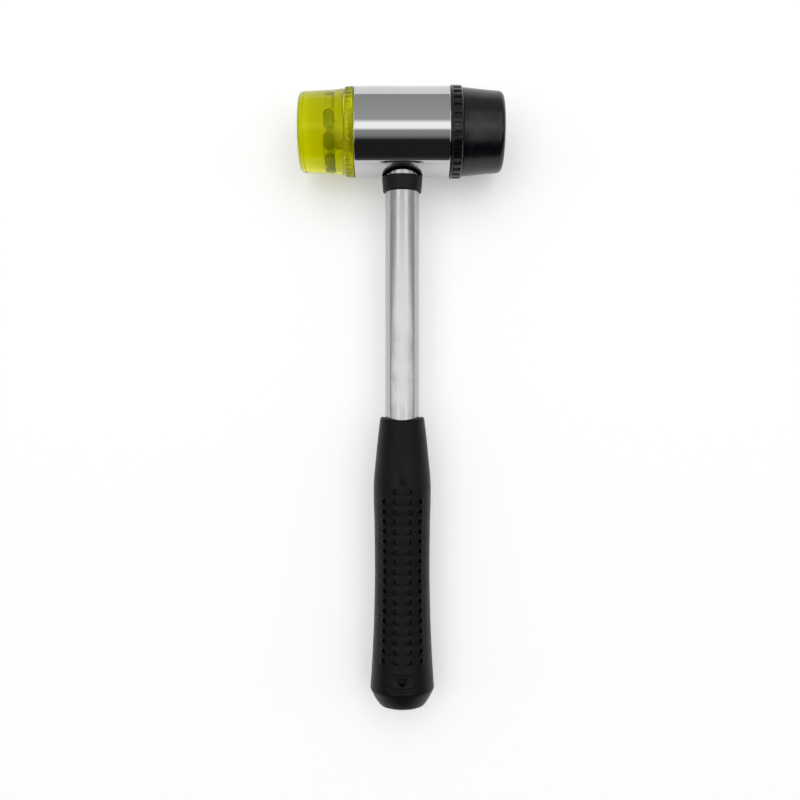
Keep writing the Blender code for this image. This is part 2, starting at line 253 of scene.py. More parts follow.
# ---------------------------------------------------------------- materials
class Finish:
    """A Principled material whose colour, roughness and bump come from the piece's own coordinates."""

    def __init__(self, name, roughness=0.5, metallic=0.0, **constants):
        self.material = bpy.data.materials.new(name)
        self.material.use_nodes = True
        self.tree = self.material.node_tree
        self.shader = self.tree.nodes["Principled BSDF"]
        self.shader.inputs["Metallic"].default_value = metallic
        self.shader.inputs["Roughness"].default_value = roughness
        for socket, value in constants.items():
            self.shader.inputs[socket.replace("_", " ")].default_value = value
        self.coordinates = self.tree.nodes.new("ShaderNodeTexCoord").outputs["Object"]
        self.height = None

    def connect(self, value, socket):
        if hasattr(value, "links"):
            self.tree.links.new(value, socket)
        else:
            socket.default_value = value

    def stretched(self, scale):
        node = self.tree.nodes.new("ShaderNodeMapping")
        node.inputs["Scale"].default_value = scale
        self.tree.links.new(self.coordinates, node.inputs["Vector"])
        return node.outputs["Vector"]

    def noise(self, scale, detail=4.0, roughness=0.55, stretch=(1, 1, 1)):
        node = self.tree.nodes.new("ShaderNodeTexNoise")
        node.inputs["Scale"].default_value = scale
        node.inputs["Detail"].default_value = detail
        node.inputs["Roughness"].default_value = roughness
        self.tree.links.new(self.stretched(stretch), node.inputs["Vector"])
        return node.outputs["Fac"]

    def axis(self):
        """The distance along the head, and the distance from its axis."""
        node = self.tree.nodes.new("ShaderNodeSeparateXYZ")
        self.tree.links.new(self.coordinates, node.inputs["Vector"])
        x, y, z = node.outputs
        square = self.math("ADD", self.math("MULTIPLY", y, y), self.math("MULTIPLY", z, z))
        return x, self.math("SQRT", square)

    def ranged(self, value, low, high, to_low, to_high):
        node = self.tree.nodes.new("ShaderNodeMapRange")
        for socket, given in zip(("From Min", "From Max", "To Min", "To Max"), (low, high, to_low, to_high)):
            node.inputs[socket].default_value = given
        self.tree.links.new(value, node.inputs["Value"])
        return node.outputs["Result"]

    def math(self, operation, a, b=0.0):
        node = self.tree.nodes.new("ShaderNodeMath")
        node.operation = operation
        self.connect(a, node.inputs[0])
        self.connect(b, node.inputs[1])
        return node.outputs["Value"]

    def colour(self, factor, first, second):
        node = self.tree.nodes.new("ShaderNodeMix")
        node.data_type = "RGBA"
        self.connect(factor, node.inputs["Factor"])
        node.inputs["A"].default_value = (*first, 1)
        node.inputs["B"].default_value = (*second, 1)
        self.tree.links.new(node.outputs["Result"], self.shader.inputs["Base Color"])
        return self

    def rough(self, value):
        self.tree.links.new(value, self.shader.inputs["Roughness"])
        return self

    def bump(self, value, depth, strength=1.0):
        """Adds a bump of this depth in metres, on top of any before it."""
        node = self.tree.nodes.new("ShaderNodeBump")
        node.inputs["Strength"].default_value = strength
        node.inputs["Distance"].default_value = depth
        self.tree.links.new(value, node.inputs["Height"])
        if self.height:
            self.tree.links.new(self.height, node.inputs["Normal"])
        self.height = node.outputs["Normal"]
        self.tree.links.new(self.height, self.shader.inputs["Normal"])
        return self


def chrome_finish(name, tint, roughness, lines, **constants):
    """Chrome plate: faint smudges in its gloss and fine polishing lines."""
    finish = Finish(name, metallic=1.0, **constants)
    smudge = finish.noise(90, detail=5)
    finish.rough(finish.ranged(smudge, 0.35, 0.7, roughness * 0.8, roughness * 1.5))
    finish.colour(finish.noise(35), [c * 0.97 for c in tint], tint)
    finish.bump(finish.noise(1.0, detail=3, stretch=lines), 0.0000012)
    return finish.material


def rubber_finish(name, dark, light, roughness, grain, depth, gloss):
    """Moulded rubber: fine grain and a slightly uneven sheen."""
    finish = Finish(name, Specular_IOR_Level=gloss)
    sheen = finish.noise(260, detail=6, roughness=0.6)
    finish.colour(finish.noise(420, detail=5), dark, light)
    finish.rough(finish.ranged(sheen, 0.3, 0.75, roughness - 0.07, roughness + 0.10))
    finish.bump(finish.noise(grain, detail=6, roughness=0.65), depth)
    return finish.material


def steel_finish(name, tint, roughness):
    """Turned steel: rings left by the tool."""
    finish = Finish(name, metallic=1.0)
    rings = finish.noise(1.0, detail=4, stretch=(5200, 60, 60))
    finish.rough(finish.ranged(rings, 0.3, 0.7, roughness - 0.08, roughness + 0.12))
    finish.colour(finish.noise(300), [c * 0.8 for c in tint], tint)
    finish.bump(rings, 0.000004)
    return finish.material


def cast_finish(name, tint, roughness):
    """Cast metal: dull, with a fine grain."""
    finish = Finish(name, metallic=1.0)
    grain = finish.noise(2400, detail=6, roughness=0.7)
    finish.rough(finish.ranged(grain, 0.3, 0.7, roughness - 0.1, roughness + 0.15))
    finish.colour(finish.noise(500, detail=6), [c * 0.72 for c in tint], tint)
    finish.bump(grain, 0.000012)
    return finish.material


def insert_finish():
    """The insert: a casting painted pale, as painted light for the light it gets through the plastic, with
    darker lug tops and fine ribs along the head.
    """
    finish = Finish("insert_metal", metallic=0.1)
    grain = finish.noise(2400, detail=6, roughness=0.7)
    finish.rough(finish.ranged(grain, 0.3, 0.7, 0.35, 0.6))
    height = finish.math("ADD", finish.axis()[1], finish.ranged(grain, 0.0, 1.0, -0.0002, 0.0002))
    on_lug = finish.ranged(height, LUG_RADIUS - 0.0012, LUG_RADIUS - 0.0005, 0.0, 1.0)
    # Painted light: the near-white hub stands in for the light it gets through the plastic; the lug tops are
    # darker.
    finish.colour(on_lug, (0.90, 0.90, 0.86), (0.42, 0.46, 0.42))
    ribs = finish.noise(1.0, detail=2, stretch=(60, 1900, 1900))
    finish.bump(ribs, 0.00004)
    finish.bump(grain, 0.000012)
    return finish.material


def fibre_finish():
    finish = Finish("washer_fibre", roughness=0.8)
    threads = finish.noise(1.0, detail=6, stretch=(300, 2600, 500))
    finish.colour(threads, (0.42, 0.40, 0.34), (0.60, 0.58, 0.50))
    finish.bump(threads, 0.00003)
    return finish.material


def yellow_finish():
    """See-through hard plastic: it takes out the blue in its first millimetres."""
    finish = Finish("yellow_plastic", roughness=0.04, Transmission_Weight=1.0, IOR=1.49)
    finish.shader.inputs["Base Color"].default_value = (1.0, 1.0, 0.80, 1.0)
    finish.shader.inputs["Specular Tint"].default_value = (1.0, 1.0, 0.15, 1.0)
    cloud = finish.noise(120, detail=5)
    flange = finish.ranged(finish.axis()[0], 0.0040, 0.0044, 0.26, 0.0)
    finish.rough(finish.math("ADD", flange, finish.ranged(cloud, 0.3, 0.8, 0.03, 0.07)))
    finish.bump(finish.noise(70, detail=3), 0.00004)
    absorb = finish.tree.nodes.new("ShaderNodeVolumeAbsorption")
    absorb.inputs["Color"].default_value = (0.970, 0.971, 0.0, 1.0)
    absorb.inputs["Density"].default_value = 330.0
    output = next(n for n in finish.tree.nodes if n.type == "OUTPUT_MATERIAL")
    finish.tree.links.new(absorb.outputs["Volume"], output.inputs["Volume"])
    return finish.material


CHROME = chrome_finish("barrel_chrome", (0.56, 0.56, 0.555), 0.045, lines=(2500, 30, 30))
TUBE_CHROME = chrome_finish("tube_chrome", (0.47, 0.475, 0.48), 0.16, lines=(1800, 30, 30), Anisotropic=0.8)
STEEL = steel_finish("plain_steel", (0.45, 0.45, 0.46), 0.38)
INSERT_METAL = insert_finish()
SHOT_STEEL = cast_finish("shot_steel", (0.48, 0.48, 0.49), 0.28)
FIBRE = fibre_finish()
YELLOW = yellow_finish()
SOOT = (0.0011, 0.0014, 0.0024)
SOOT_LIGHT = (0.0022, 0.0027, 0.0042)
BLACK_RUBBER = rubber_finish("black_rubber", SOOT, SOOT_LIGHT, 0.25, 1500, 0.000006, gloss=0.45)
COLLAR_RUBBER = rubber_finish("collar_rubber", SOOT, SOOT_LIGHT, 0.42, 1800, 0.00001, gloss=0.22)
GRIP_RUBBER = rubber_finish("grip_rubber", SOOT, SOOT_LIGHT, 0.40, 2200, 0.00002, gloss=0.16)


# ---------------------------------------------------------------- barrel
def add_barrel():
    half = BARREL_HALF
    outer = BARREL_RADIUS
    section = [(-half, BORE_RADIUS), (-half, outer), (half, outer), (half, BORE_RADIUS)]
    mesh = lathe("head_barrel_shell", rounded(section, edge=0.0004), 192, hollow=True)
    barrel = link("head_barrel_shell", mesh, TOOL, CHROME, FIXED_BODY, "barrel_chrome", "head_barrel")
    hole = [(0.008, TUBE_RADIUS + GAP), (0.026, TUBE_RADIUS + GAP)]
    cutter_mesh = lathe("handle_hole_cutter", hole, 96)
    cutter = bpy.data.objects.new("handle_hole_cutter", cutter_mesh)
    bpy.context.scene.collection.objects.link(cutter)
    cutter.matrix_world = HANDLE
    cut_now(barrel, cutter, "DIFFERENCE")


def cut_now(obj, cutter, operation):
    """Applies a Boolean and removes the cutter."""
    bpy.context.view_layer.update()
    modifier = obj.modifiers.new("cut", "BOOLEAN")
    modifier.operation = operation
    modifier.solver = "EXACT"
    modifier.object = cutter
    graph = bpy.context.evaluated_depsgraph_get()
    mesh = bpy.data.meshes.new_from_object(obj.evaluated_get(graph), depsgraph=graph)
    obj.modifiers.clear()
    obj.data = mesh
    mesh.set_sharp_from_angle(angle=math.radians(38))
    bpy.data.objects.remove(cutter)


# ---------------------------------------------------------------- thread, plugs, inserts, washers
def thread_radius(x, extra=0.0, strength=1.0):
    def radius(angle):
        turn = (x / THREAD_PITCH - angle / math.tau) % 1.0
        ridge = 0.5 + 0.5 * math.cos(math.tau * turn)
        return THREAD_ROOT + extra + strength * THREAD_HEIGHT * ridge

    return radius


def add_plug(name, place, node):
    mouth = -GAP
    floor = mouth - PLUG_THICKNESS + PLUG_FLOOR
    outer = BORE_RADIUS - GAP
    section = [(mouth - PLUG_THICKNESS, outer), (mouth - 0.0005, outer), (mouth, outer - 0.0005)]
    section.append((mouth, 0.0075))
    section.append((mouth - 0.0008, THREAD_ROOT + THREAD_CLEARANCE + THREAD_HEIGHT))
    for x in spread(mouth - 0.001, floor, 60):
        section.append((x, thread_radius(x, THREAD_CLEARANCE)))
    link(name, lathe(name, section, 96), place, STEEL, FIXED_BODY, "plain_steel", node)


def add_washer(name, place, body, node):
    section = [(GAP, 0.0064), (GAP, 0.0105), (GAP + 0.0012, 0.0105), (GAP + 0.0012, 0.0064)]
    mesh = lathe(name, rounded(section, edge=0.00015), 96, hollow=True)
    link(name, mesh, place, FIBRE, body, "washer_fibre", node)


FLANGE_START = 0.0021
FLANGE_END = 0.0035
HUB_START = 0.0084
HUB_END = 0.0140
NECK_RADIUS = 0.0050
LUG_CENTRE = 0.0109
LUG_WIDTH = 0.0048
LUG_LENGTH = 0.0082
# How far the first lug is turned from the front, as a part of the pitch between lugs.
LUG_PHASE = 0.293
LUG_PLACES = 8
EMPTY_LUG_PLACE = 1


def slot_reach(angle, half_width, half_run, blunt_start=False):
    """How far the outline of a slot with round ends lies from its middle, in this direction.

    The slot runs along the first axis. blunt_start makes its first end square.
    """
    c, s = math.cos(angle), math.sin(angle)
    straight = half_run - half_width
    side = half_width / max(abs(s), 1e-9)
    if blunt_start and c < 0:
        return min(side, half_run / max(-c, 1e-9))
    if abs(side * c) <= straight:
        return side
    along = straight * abs(c)
    return along + math.sqrt(max(half_width**2 - (straight * s) ** 2, 0.0))


def cell_border(u0, u1, v0, v1, across, along):
    """The points round a cell, in order, with this many steps along v and along u."""
    border = [(u0, v) for v in spread(v0, v1, across)[:-1]]
    border += [(u, v1) for u in spread(u0, u1, along)[:-1]]
    border += [(u1, v) for v in reversed(spread(v0, v1, across)[1:])]
    border += [(u, v0) for u in reversed(spread(u0, u1, along)[1:])]
    return border


def add_feature(shell, cell, counts, centre, metres_per_v, reach, levels):
    """Fills a cell with a shape sunk into it, or raised on it.

    reach(direction, inset) is the shape's outline, and levels are (inset, lift) from its rim inwards.
    Directions are measured in metres, with u along the first axis.
    """
    border = cell_border(*cell, *counts)
    loops = [[(u, v, 0.0) for u, v in border]]
    u_middle, v_middle = centre
    directions = [math.atan2((v - v_middle) * metres_per_v, u - u_middle) for u, v in border]
    for inset, lift in levels:
        loop = []
        for direction in directions:
            distance = reach(direction, inset)
            u = u_middle + distance * math.cos(direction)
            v = v_middle + distance * math.sin(direction) / metres_per_v
            loop.append((u, v, lift))
        loops.append(loop)
    shell.bands(loops)


def add_insert(name, place, body, node):
    """The stud, its flange and neck, and the hub, as one surface."""
    segments = 96
    section = []
    for x in spread(-STUD_LENGTH, -GAP, 44):
        room = min(x + STUD_LENGTH, -GAP - x)
        strength = min(1.0, max(0.0, room / STUD_RUNOUT))
        section.append((x, thread_radius(x, strength=strength)))
    section += [(FLANGE_START, THREAD_ROOT), (FLANGE_START, 0.0095), (FLANGE_END, 0.0095)]
    section += [(FLANGE_END, NECK_RADIUS), (HUB_START, NECK_RADIUS)]
    section += [(HUB_START, HUB_RADIUS - 0.0004), (HUB_START + 0.0003, HUB_RADIUS)]
    section += [(HUB_END - 0.0003, HUB_RADIUS), (HUB_END, HUB_RADIUS - 0.0004)]
    mesh = lathe(name, section, segments)
    link(name, mesh, place, INSERT_METAL, body, "insert_metal", node)


def add_lugs(name, place, body):
    """Locking lugs on the hub: slots with round ends that stand out of it, with fine ribs along the head."""

    def on_hub(x, angle, lift):
        radius = HUB_RADIUS - 0.0003 + lift
        return (x, -radius * math.sin(angle), radius * math.cos(angle))

    for i in range(LUG_PLACES):
        if i == EMPTY_LUG_PLACE:
            continue
        turn = math.tau * (i + LUG_PHASE) / LUG_PLACES
        shell = Shell(on_hub)
        loops = []
        height = LUG_RADIUS - HUB_RADIUS + 0.0003
        rim = [math.tau * k / 48 for k in range(48)]
        for inset, lift in ((0, 0), (0.0001, height - 0.0004), (0.0003, height - 0.0001), (0.0006, height)):
            loop = []
            for direction in rim:
                distance = slot_reach(direction, LUG_WIDTH / 2 - inset, LUG_LENGTH / 2 - inset)
                around = distance * math.cos(direction) / LUG_RADIUS
                loop.append((LUG_CENTRE + distance * math.sin(direction), turn + around, lift))
            loops.append(loop)
        shell.bands(loops)
        shell.faces.append([shell.vertex(*corner) for corner in loops[0]])
        mesh = shell.mesh(f"{name}_{i + 1}")
        recalculate(mesh)
        link(f"{name}_{i + 1}", mesh, place, INSERT_METAL, body, "insert_metal")


def recalculate(mesh):
    """Welds the mesh and turns all its faces outwards."""
    bm = bmesh.new()
    bm.from_mesh(mesh)
    bmesh.ops.remove_doubles(bm, verts=bm.verts, dist=1e-6)
    bmesh.ops.recalc_face_normals(bm, faces=bm.faces)
    bm.to_mesh(mesh)
    bm.free()


# ---------------------------------------------------------------- striking faces
def corner_arc(length, radius, reach, steps=8):
    turns = spread(0, math.pi / 2, steps)
    return [(length - reach + reach * math.sin(t), radius - reach + reach * math.cos(t)) for t in turns]


def add_tip(name, place, body, material, slot, node, flange, land, body_outline, notches, filled):
    """A striking face. Its flange's land carries finger notches, each a pocket with one round end."""
    count = notches["count"]
    steps_around = notches["steps"]
    angles = spread(0, math.tau, count * steps_around)
    wrap = angles[:-1]
    land_start, land_end, land_radius = land

    def place_on_land(x, angle, lift):
        radius = land_radius(x) + lift
        return (x, -radius * math.sin(angle), radius * math.cos(angle))

    outline = list(flange) + [(land_start, None), (land_end, None)] + list(body_outline)
    points = []
    faces = []

    def ring(x, radius):
        first = len(points)
        for angle in wrap:
            points.append((x, -radius * math.sin(angle), radius * math.cos(angle)))
        return first

    def join(first, second):
        total = len(wrap)
        for i in range(total):
            j = (i + 1) % total
            faces.append((first + i, first + j, second + j, second + i))

    back = [(GAP, 0.0108), (0.0018, 0.0108)]
    if filled:
        back += [(0.0018, 0.0095), (0.0028, 0.0092)]
    rings = [ring(x, r) for x, r in reversed(back)]
    rings += [ring(x, r) for x, r in flange]
    for first, second in zip(rings, rings[1:]):
        join(first, second)
    land_low = ring(land_start, land_radius(land_start))
    join(rings[-1], land_low)
    land_high = ring(land_end, land_radius(land_end))
    rest = [ring(x, r) for x, r in body_outline]
    join(land_high, rest[0])
    for first, second in zip(rest, rest[1:]):
        join(first, second)
    faces.append(tuple(reversed(range(rings[0], rings[0] + len(wrap)))))
    faces.append(tuple(range(rest[-1], rest[-1] + len(wrap))))

    shell = Shell(place_on_land)
    width, length = notches["width"], notches["length"]
    mean_radius = land_radius((land_start + land_end) / 2)
    middle_x = land_start + notches["margin"] + length / 2
    depth = notches["depth"]
    for i in range(count):
        v0 = math.tau * i / count
        v1 = math.tau * (i + 1) / count
        add_feature(
            shell,
            (land_start, land_end, v0, v1),
            (steps_around, 8),
            (middle_x, (v0 + v1) / 2),
            mean_radius,
            lambda d, inset: slot_reach(d, width / 2 - inset, length / 2 - inset, blunt_start=True),
            [(-0.00012, 0), (0, -0.00004), (0.00008, -depth * 0.8), (0.0002, -depth), (0.0004, -depth)],
        )
    offset = len(points)
    points += shell.points
    faces += [tuple(offset + k for k in face) for face in shell.faces]
    mesh = bpy.data.meshes.new(name)
    mesh.from_pydata(points, [], faces)
    recalculate(mesh)
    face_out(mesh)
    return link(name, mesh, place, material, body, slot, node)


def add_hard_tip():
    side = smooth_radius([(0.0045, 0.0189), (0.0090, 0.01845), (0.0150, 0.0181), (0.0223, 0.01775)])
    body = [(0.0042, 0.0193), (0.00435, 0.01905), (0.0046, 0.01888)]
    body += [(x, side(x)) for x in spread(0.0052, 0.0220, 10)]
    body += corner_arc(0.0247, 0.01775, 0.0024)
    body += [(0.0247, 0.0152), (0.0247, 0.0140)]
    flange = [(GAP, 0.0112), (GAP, 0.0190), (GAP, 0.0195)]
    flange += [(0.0004, 0.01972), (0.0006, 0.0198), (0.0008, 0.0198)]
    land = (0.0010, 0.0038, lambda x: 0.0198 - (x - 0.0010) * 0.07)
    notches = {"count": 40, "steps": 8, "width": 0.0017, "length": 0.0025, "margin": 0.0002, "depth": 0.0003}
    add_tip(
        "hard_tip_body", HARD_SIDE, "hard_face", YELLOW, "yellow_plastic", "hard_tip",
        flange, land, body, notches, True,
    )


def add_rubber_tip():
    side = smooth_radius([(0.0058, 0.01935), (0.0095, 0.0190), (0.0150, 0.0184), (0.0213, 0.0179)])
    body = [(0.0050, 0.0201), (0.0053, 0.0198), (0.0055, 0.0194), (0.00565, 0.0192), (0.0058, 0.0193)]
    body += [(x, side(x)) for x in spread(0.0062, 0.0210, 10)]
    body += corner_arc(0.0238, 0.0179, 0.0025)
    body += [(0.0238, 0.0152), (0.0238, 0.0140)]
    flange = [(GAP, 0.0112), (GAP, 0.0196), (GAP, 0.0202)]
    flange += [(0.0004, 0.02042), (0.0006, 0.0205), (0.0008, 0.0205)]
    flange += [(0.00095, 0.02042), (0.00105, 0.0202)]
    land = (0.0012, 0.0048, lambda x: 0.0203)
    notches = {"count": 30, "steps": 8, "width": 0.0021, "length": 0.0033, "margin": 0.0001, "depth": 0.0007}
    add_tip(
        "rubber_tip_body", RUBBER_SIDE, "rubber_face", BLACK_RUBBER, "black_rubber", "rubber_tip",
        flange, land, body, notches, True,
    )


# ---------------------------------------------------------------- handle
def add_tube():
    start = 0.0037
    end = GRIP_END - 0.0078
    inner = TUBE_RADIUS - TUBE_WALL
    section = [(start, inner), (start, TUBE_RADIUS), (end, TUBE_RADIUS), (end, inner)]
    mesh = lathe("handle_tube_shell", rounded(section), 128, hollow=True)
    link("handle_tube_shell", mesh, HANDLE, TUBE_CHROME, FIXED_BODY, "tube_chrome", "handle_tube")


def add_collar():
    inner = TUBE_RADIUS + GAP
    top, top_radius, bottom_radius = BARREL_RADIUS + 0.0004, 0.00915, 0.00865
    edge = 0.0006
    section = [(top, inner), (top, top_radius - 0.0003)]
    section += [(top + 0.0001, top_radius - 0.0001), (top + 0.0003, top_radius)]
    slope = (bottom_radius - top_radius) / 0.006
    section += [(x, top_radius + slope * (x - top)) for x in spread(0.0215, 0.0264, 3)]
    section += [
        (COLLAR_BOTTOM - edge * (1 - math.sin(t)), bottom_radius - edge * (1 - math.cos(t)))
        for t in spread(0.15, math.pi / 2, 6)
    ]
    section += [(COLLAR_BOTTOM, inner)]
    mesh = lathe("handle_collar_ring", section, 128, hollow=True)
    link("handle_collar_ring", mesh, HANDLE, COLLAR_RUBBER, FIXED_BODY, "collar_rubber", "handle_collar")


GRIP_STATIONS = [
    (SLEEVE_START, 0.0099),
    (0.1290, 0.01005),
    (0.1315, 0.0103),
    (0.1385, 0.01107),
    (0.1492, 0.0121),
    (0.1546, 0.0126),
    (0.1600, 0.01285),
    (0.1654, 0.0128),
    (0.1760, 0.0125),
    (0.1978, 0.0123),
    (0.2086, 0.01245),
    (0.2194, 0.0127),
    (0.2302, 0.01315),
    (0.2410, 0.01375),
    (BUTT_START, 0.01425),
]
DIMPLE_PITCH = 0.00437
DIMPLE_ROWS = 18
FIRST_DIMPLE = 0.1607
DIMPLE_COLUMNS = 14
DIMPLE_RADIUS = 0.00113
CELL_STEPS = 8
# From a dimple's rim inwards: (inset, height).
DIMPLE_LEVELS = [(-0.00022, 0), (-0.00008, 0.00004), (0, -0.00004)]
DIMPLE_LEVELS += [(0.00006, -0.0008), (0.00016, -0.0012), (0.0005, -0.00125)]
# The same for a grip bar.
BAR_LEVELS = [(-0.0001, -0.0003), (0.0, 0.0002), (0.00008, 0.00045)]
BAR_LEVELS += [(0.0002, 0.00055), (0.0004, 0.00058), (0.0006, 0.00058)]
MOUTH_DIP = 0.0015
MOUTH_SHIFT = 0.0009
DIP_END = 0.1385
RECESS_AT = 0.2438


def add_grip():
    """A moulded sleeve with rows of dimples on its front and back."""
    radius_at = smooth_radius(GRIP_STATIONS)
    segments = DIMPLE_COLUMNS * CELL_STEPS

    def place(s, angle, lift):
        fade = max(0.0, (DIP_END - s) / (DIP_END - GRIP_MOUTH))
        drop = (MOUTH_SHIFT + MOUTH_DIP * math.cos(angle) ** 2) * fade**1.5
        radius = radius_at(s) + lift - 0.0006 * max(0.0, 1 - (s - SLEEVE_START) / 0.0009) ** 2
        return (s + drop, -radius * math.sin(angle), radius * math.cos(angle))

    shell = Shell(place)
    column = math.tau / DIMPLE_COLUMNS
    step = column / CELL_STEPS
    angles = [step * i for i in range(-segments // 2, segments // 2 + 1)]
    first_edge = FIRST_DIMPLE - DIMPLE_PITCH / 2
    row_edges = [first_edge + DIMPLE_PITCH * k for k in range(-1, DIMPLE_ROWS + 1)]
    fine = [row_edges[0] + DIMPLE_PITCH / CELL_STEPS * k for k in range(CELL_STEPS * (DIMPLE_ROWS + 1) + 1)]

    dimpled = set()
    for k in range(-1, DIMPLE_ROWS):
        if k < 0:
            columns = [-0.5]
        elif k == 0:
            columns = [-1, 0]
        else:
            columns = [-2, -1, 0, 1]
        for back in (False, True):
            for c in columns:
                low = round(c * CELL_STEPS) + (segments // 2 if back else 0)
                dimpled.add((k, low))

    def wrapped(i):
        return (i + segments // 2) % segments - segments // 2

    def circle(direction, inset):
        return DIMPLE_RADIUS - inset

    covered = set()
    for k, low in dimpled:
        v0 = wrapped(low) * step
        v1 = v0 + column
        u0 = row_edges[k + 1]
        u1 = u0 + DIMPLE_PITCH
        mid = ((u0 + u1) / 2, (v0 + v1) / 2)
        cell = (u0, u1, v0, v1)
        add_feature(shell, cell, (CELL_STEPS, CELL_STEPS), mid, radius_at(mid[0]), circle, DIMPLE_LEVELS)
        for i in range(CELL_STEPS):
            for j in range(CELL_STEPS):
                covered.add(((k + 1) * CELL_STEPS + i, (wrapped(low) + j) % segments))

    for i in range(len(fine) - 1):
        for j in range(segments):
            if (i, wrapped(j) % segments) in covered:
                continue
            v0 = wrapped(j) * step
            shell.face((fine[i], v0), (fine[i + 1], v0), (fine[i + 1], v0 + step), (fine[i], v0 + step))

    shell.grid(spread(SLEEVE_START, 0.1284, 6), angles)
    shell.grid(spread(0.1284, fine[0], 34), angles)
    recess_low, recess_high = RECESS_AT - DIMPLE_PITCH / 2, RECESS_AT + DIMPLE_PITCH / 2
    shell.grid(spread(fine[-1], recess_low, 6), angles)
    half = CELL_STEPS // 2
    cells = [step * (i - half) for i in range(CELL_STEPS + 1)]
    shell.grid(spread(recess_low, recess_high, CELL_STEPS), [a for a in angles if a >= cells[-1] - 1e-9])
    shell.grid(spread(recess_low, recess_high, CELL_STEPS), [a for a in angles if a <= cells[0] + 1e-9])
    add_feature(
        shell,
        (recess_low, recess_high, cells[0], cells[-1]),
        (CELL_STEPS, CELL_STEPS),
        (RECESS_AT, 0.0),
        radius_at(RECESS_AT),
        lambda d, inset: 0.0015 - inset,
        [(-0.0002, 0), (0, -0.0001), (0.0001, -0.0022), (0.0003, -0.0026)],
    )
    shell.grid(spread(recess_high, BUTT_START, 5), angles)

    butt = [(BUTT_START, 0.01425), (0.2491, 0.01428), (0.2496, 0.01418), (0.2501, 0.01395)]
    butt += [(0.2535, 0.01225), (0.2560, 0.01055), (0.2566, 0.0100), (0.2569, 0.0092), (0.2570, 0.0080)]
    inner = TUBE_RADIUS + 0.00005
    lip = [(SLEEVE_START, 0.0093), (0.12703, 0.0091), (0.12698, 0.0089), (0.12705, 0.0086)]
    lip += [(0.1276, inner), (0.1400, inner)]
    points = list(shell.points)
    faces = list(shell.faces)

    def add_rings(rings, dips):
        starts = []
        for s, r in rings:
            starts.append(len(points))
            for i in range(segments):
                angle = step * i
                fade = max(0.0, (DIP_END - max(s, SLEEVE_START)) / (DIP_END - GRIP_MOUTH)) if dips else 0.0
                drop = (MOUTH_SHIFT + MOUTH_DIP * math.cos(angle) ** 2) * fade**1.5
                points.append((s + drop, -r * math.sin(angle), r * math.cos(angle)))
        for first, second in zip(starts, starts[1:]):
            for i in range(segments):
                j = (i + 1) % segments
                faces.append((first + i, first + j, second + j, second + i))
        faces.append(tuple(starts[-1] + i for i in range(segments)))

    add_rings(butt, False)
    add_rings(lip, True)
    mesh = bpy.data.meshes.new("grip_sleeve")
    mesh.from_pydata(points, [], faces)
    recalculate(mesh)
    face_out(mesh)
    link("grip_sleeve", mesh, HANDLE, GRIP_RUBBER, FIXED_BODY, "grip_rubber", "grip")


def add_grip_bar(name, s, half_length, facing):
    """A low raised bar with round ends, curved like a smile, that lies on the grip."""
    radius_at = smooth_radius(GRIP_STATIONS)
    half_width = 0.00072
    base = radius_at(s)

    def place(along, across, lift):
        angle = across / base + (math.pi if facing < 0 else 0.0)
        sag = 0.0007 * (1 - (across / half_length) ** 2) - 0.0003
        radius = radius_at(s + along + sag) + lift
        return (s + along + sag, -radius * math.sin(angle), radius * math.cos(angle))

    shell = Shell(place)
    loops = []
    count = 64
    for inset, lift in BAR_LEVELS:
        loop = []
        for k in range(count):
            t = k / count * 4
            w = half_width - inset
            run = half_length - half_width
            if t < 1:
                along, across = -w, -run + 2 * run * t
            elif t < 2:
                turn = math.pi * (t - 1) - math.pi / 2
                along, across = w * math.sin(turn), run + w * math.cos(turn)
            elif t < 3:
                along, across = w, run - 2 * run * (t - 2)
            else:
                turn = math.pi * (t - 3) + math.pi / 2
                along, across = w * math.sin(turn), -run + w * math.cos(turn)
            loop.append((along, across, lift))
        loops.append(loop)
    shell.bands(loops)
    shell.faces.append([shell.vertex(*corner) for corner in loops[0]])
    mesh = shell.mesh(name)
    recalculate(mesh)
    link(name, mesh, HANDLE, GRIP_RUBBER, FIXED_BODY, "grip_rubber")


# ---------------------------------------------------------------- what the head holds
def add_inside():
    """The shot, as round balls. The socket and the cross pin stay as they are in the frame."""
    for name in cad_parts:
        if name.startswith("shot_ball"):
            low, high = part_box(name)
            centre = Matrix.Translation((low + high) / 2)
            bm = bmesh.new()
            bmesh.ops.create_icosphere(bm, subdivisions=4, radius=0.003)
            mesh = bpy.data.meshes.new(name + "_round")
            bm.to_mesh(mesh)
            bm.free()
            link(name + "_round", mesh, centre, SHOT_STEEL, "shot", "shot_steel", name)
    for name in ("handle_socket", "handle_cross_pin"):
        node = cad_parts[name]
        node.data.materials.clear()
        node.data.materials.append(STEEL)


# ---------------------------------------------------------------- stage
class Nodes:
    """Short names for the nodes that the stage is made of."""

    def __init__(self, tree):
        self.tree = tree

    def add(self, kind, *inputs, **settings):
        """A node with its first inputs set or linked, in order."""
        node = self.tree.nodes.new("ShaderNode" + kind)
        for name, value in settings.items():
            setattr(node, name, value)
        for socket, value in zip(node.inputs, inputs):
            if hasattr(value, "links"):
                self.tree.links.new(value, socket)
            elif value is not None:
                socket.default_value = value
        return node

    def math(self, operation, a, b=0.0):
        return self.add("Math", a, b, operation=operation).outputs[0]

    def within(self, value, low, high, soft):
        """1 where the value is between low and high, with soft edges."""
        smooth = {"interpolation_type": "SMOOTHSTEP"}
        rise = self.add("MapRange", value, low - soft, low + soft, 0.0, 1.0, **smooth)
        fall = self.add("MapRange", value, high - soft, high + soft, 1.0, 0.0, **smooth)
        return self.math("MULTIPLY", rise.outputs[0], fall.outputs[0])


